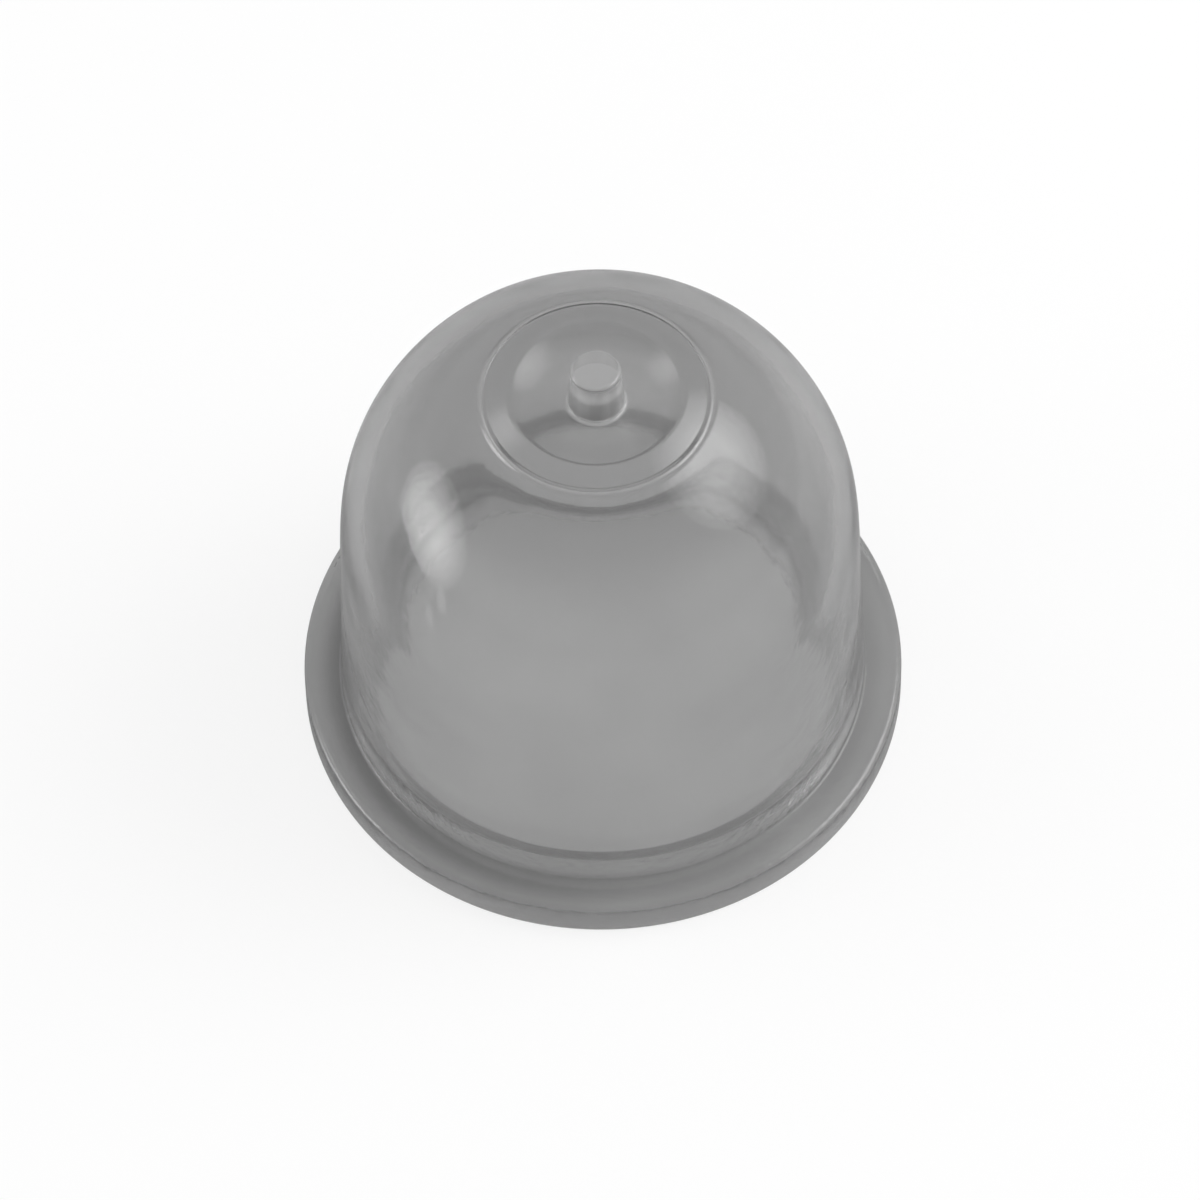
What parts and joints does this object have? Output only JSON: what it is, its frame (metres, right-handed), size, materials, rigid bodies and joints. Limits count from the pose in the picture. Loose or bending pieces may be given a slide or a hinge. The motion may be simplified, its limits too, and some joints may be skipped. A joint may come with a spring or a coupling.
{
  "type": "primer bulb",
  "caption": "Smoky translucent squeeze bulb: a round dome on a flat flange, with a dimpled crown, a small moulding nub and an open mouth underneath.",
  "frame": {"origin": "centre of the flange's underside, on the bulb's axis", "axes": "+Z along the axis, from the open mouth towards the crown; X and Y are alike, because the bulb is round"},
  "size_m": [0.022, 0.022, 0.0198],
  "materials": {
    "smoky_polyurethane": "satin"
  },
  "bodies": {
    "root": {"primer_bulb": "smoky_polyurethane"}
  },
  "joints": []
}
